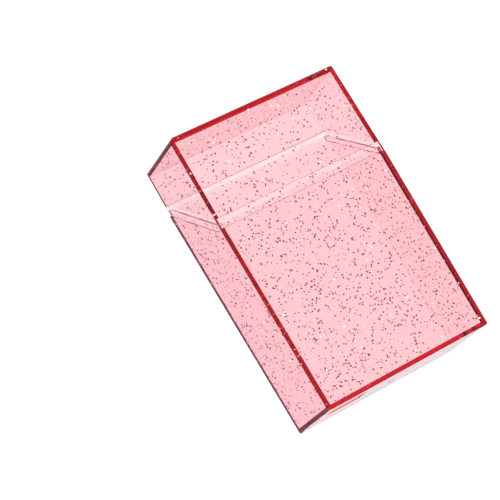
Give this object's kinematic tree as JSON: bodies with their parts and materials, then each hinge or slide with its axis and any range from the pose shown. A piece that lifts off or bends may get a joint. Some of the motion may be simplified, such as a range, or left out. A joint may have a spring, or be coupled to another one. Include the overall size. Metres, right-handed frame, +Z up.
{
  "type": "card deck box",
  "caption": "Upright flip-top deck box in clear tinted plastic with a slanted lid seam, a neck inside the rim and a thin moulded hinge at the back.",
  "frame": {"origin": "middle of the base, on the surface the box stands on", "axes": "+Z up through the lid, front face towards -Y, hinged back face towards +Y, +X to the right seen from the front"},
  "size_m": [0.0632, 0.0296, 0.095],
  "materials": {
    "tinted_plastic": "clear, tinted pink-red, with glitter flakes moulded in, polished",
    "hinge_plastic": "clear, tinted pink-red, thin enough to bend"
  },
  "bodies": {
    "box": {"body_shell": "tinted_plastic", "hinge_web": "hinge_plastic"},
    "lid": {"lid_shell": "tinted_plastic"}
  },
  "joints": [
    {"name": "lid_hinge", "type": "hinge", "parent": "box", "child": "lid", "pos_m": [0, 0.0151, 0.0808], "axis": [-1, 0, 0], "range_deg": [0, 170], "deforming": ["hinge_web"]}
  ]
}
